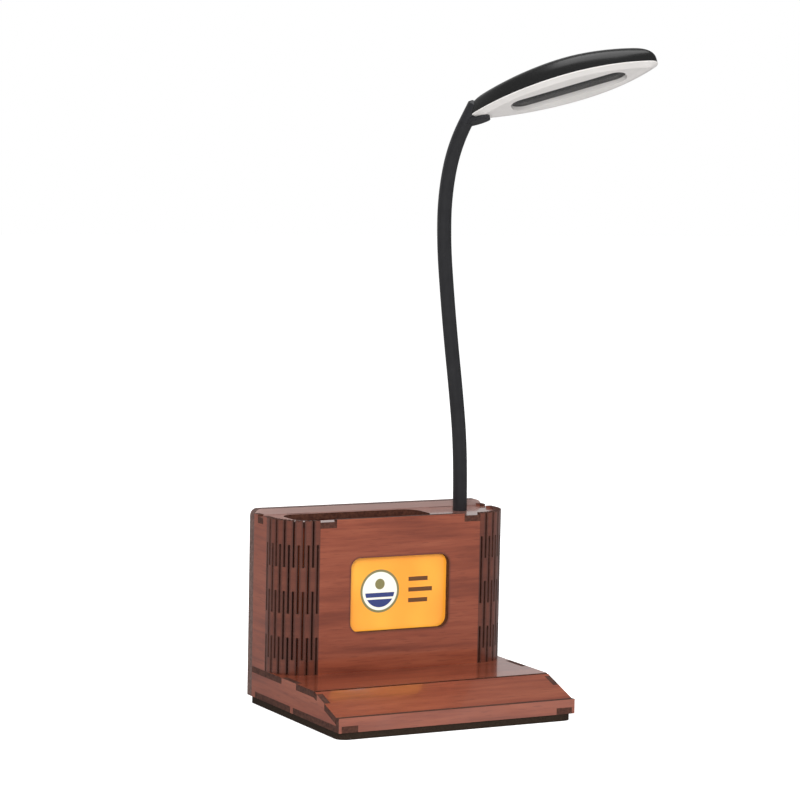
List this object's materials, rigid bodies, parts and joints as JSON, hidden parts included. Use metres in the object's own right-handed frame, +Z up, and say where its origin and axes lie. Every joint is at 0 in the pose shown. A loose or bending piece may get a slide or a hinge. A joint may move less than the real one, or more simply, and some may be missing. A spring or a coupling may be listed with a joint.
{
  "type": "desk pen stand with gooseneck lamp",
  "caption": "Laser-cut board pen stand on a low plinth, with bent slit corners, a picture plate behind a window and an LED lamp head on a flexible neck.",
  "frame": {"origin": "centre of the underside of the base pad, on the desk", "axes": "+X to the right, +Y to the back, +Z up; the plinth's long front edge lies along X and the body stands at the back"},
  "size_m": [0.1763, 0.1029, 0.3195],
  "materials": {
    "laminate_board": "3 mm board, red-brown mahogany print under gloss lacquer, laser-burnt edges",
    "pad_foam": "matt black foam rubber",
    "picture_print": null,
    "neck_steel": "wound steel core under a thin satin black sleeve, weighed as steel",
    "copper_lead": "insulated copper lead",
    "zinc_fastener": "zinc-plated steel",
    "black_gloss": "high-gloss black moulding",
    "black_satin": "satin black moulding",
    "silver_paint": "satin silver-painted moulding",
    "smoked_lens": "smoked clear lens",
    "circuit_board": "solder-masked board",
    "led_chip": "white ceramic chips with yellow phosphor",
    "nickel_pin": "nickel-plated contact",
    "white_tape": "foam mounting tape"
  },
  "bodies": {
    "stand": {"base_pad": "pad_foam", "bottom_plate": "laminate_board", "base_side_left": "laminate_board", "base_side_right": "laminate_board", "front_band": "laminate_board", "bevel_plate": "laminate_board", "ledge_plate": "laminate_board", "body_wall": "laminate_board", "back_panel": "laminate_board", "top_plate": "laminate_board", "partition": "laminate_board", "picture_plate": "picture_print", "neck_stud": "zinc_fastener", "neck_nut": "zinc_fastener", "power_jack": "black_satin", "jack_pin": "nickel_pin", "jack_nut": "zinc_fastener", "switch_housing": "black_satin", "switch_terminals": "nickel_pin", "driver_board": "circuit_board", "driver_tape": "white_tape", "driver_parts": "black_satin", "jack_lead": "copper_lead", "switch_lead": "copper_lead", "lamp_lead": "copper_lead", "neck_segment_1": "neck_steel"},
    "neck_link_2": {"neck_segment_2": "neck_steel"},
    "neck_link_3": {"neck_segment_3": "neck_steel"},
    "neck_link_4": {"neck_segment_4": "neck_steel"},
    "neck_link_5": {"neck_segment_5": "neck_steel"},
    "neck_link_6": {"neck_segment_6": "neck_steel"},
    "neck_link_7": {"neck_segment_7": "neck_steel"},
    "neck_link_8": {"neck_segment_8": "neck_steel", "neck_socket": "black_satin", "head_boss": "black_satin", "head_shell": "black_gloss", "head_bezel": "silver_paint", "head_lens": "smoked_lens", "led_board": "circuit_board", "leds": "led_chip", "head_lead": "copper_lead"},
    "switch_rocker": {"switch_rocker": "black_gloss"}
  },
  "joints": [
    {"name": "neck_bend_2", "type": "hinge", "parent": "stand", "child": "neck_link_2", "pos_m": [0.04168, 0.03027, 0.1155], "axis": [0.6428, 0.766, 0], "range_deg": [-18, 18]},
    {"name": "neck_sway_3", "type": "hinge", "parent": "neck_link_2", "child": "neck_link_3", "pos_m": [0.0404, 0.03134, 0.13943], "axis": [0.7618, -0.6393, 0.1045], "range_deg": [-18, 18]},
    {"name": "neck_bend_4", "type": "hinge", "parent": "neck_link_3", "child": "neck_link_4", "pos_m": [0.03832, 0.03309, 0.16328], "axis": [0.6428, 0.766, 0], "range_deg": [-18, 18]},
    {"name": "neck_sway_5", "type": "hinge", "parent": "neck_link_4", "child": "neck_link_5", "pos_m": [0.03623, 0.03484, 0.18712], "axis": [0.7618, -0.6393, 0.1045], "range_deg": [-18, 18]},
    {"name": "neck_bend_6", "type": "hinge", "parent": "neck_link_5", "child": "neck_link_6", "pos_m": [0.03447, 0.03632, 0.21101], "axis": [0.6428, 0.766, 0], "range_deg": [-18, 18]},
    {"name": "neck_sway_7", "type": "hinge", "parent": "neck_link_6", "child": "neck_link_7", "pos_m": [0.03367, 0.03699, 0.23498], "axis": [0.766, -0.6428, 0], "range_deg": [-18, 18]},
    {"name": "neck_bend_8", "type": "hinge", "parent": "neck_link_7", "child": "neck_link_8", "pos_m": [0.03527, 0.03565, 0.25886], "axis": [0.6428, 0.766, 0], "range_deg": [-18, 18]},
    {"name": "switch_rock", "type": "hinge", "parent": "stand", "child": "switch_rocker", "pos_m": [0.05, 0.049, 0.064], "axis": [1, 0, 0], "range_deg": [-18, 0]}
  ],
  "couplings": [
    {"joint": "neck_bend_4", "follows": "neck_bend_2", "ratio": 1},
    {"joint": "neck_sway_5", "follows": "neck_sway_3", "ratio": 1},
    {"joint": "neck_bend_6", "follows": "neck_bend_2", "ratio": 1},
    {"joint": "neck_sway_7", "follows": "neck_sway_3", "ratio": 1},
    {"joint": "neck_bend_8", "follows": "neck_bend_2", "ratio": 1}
  ]
}
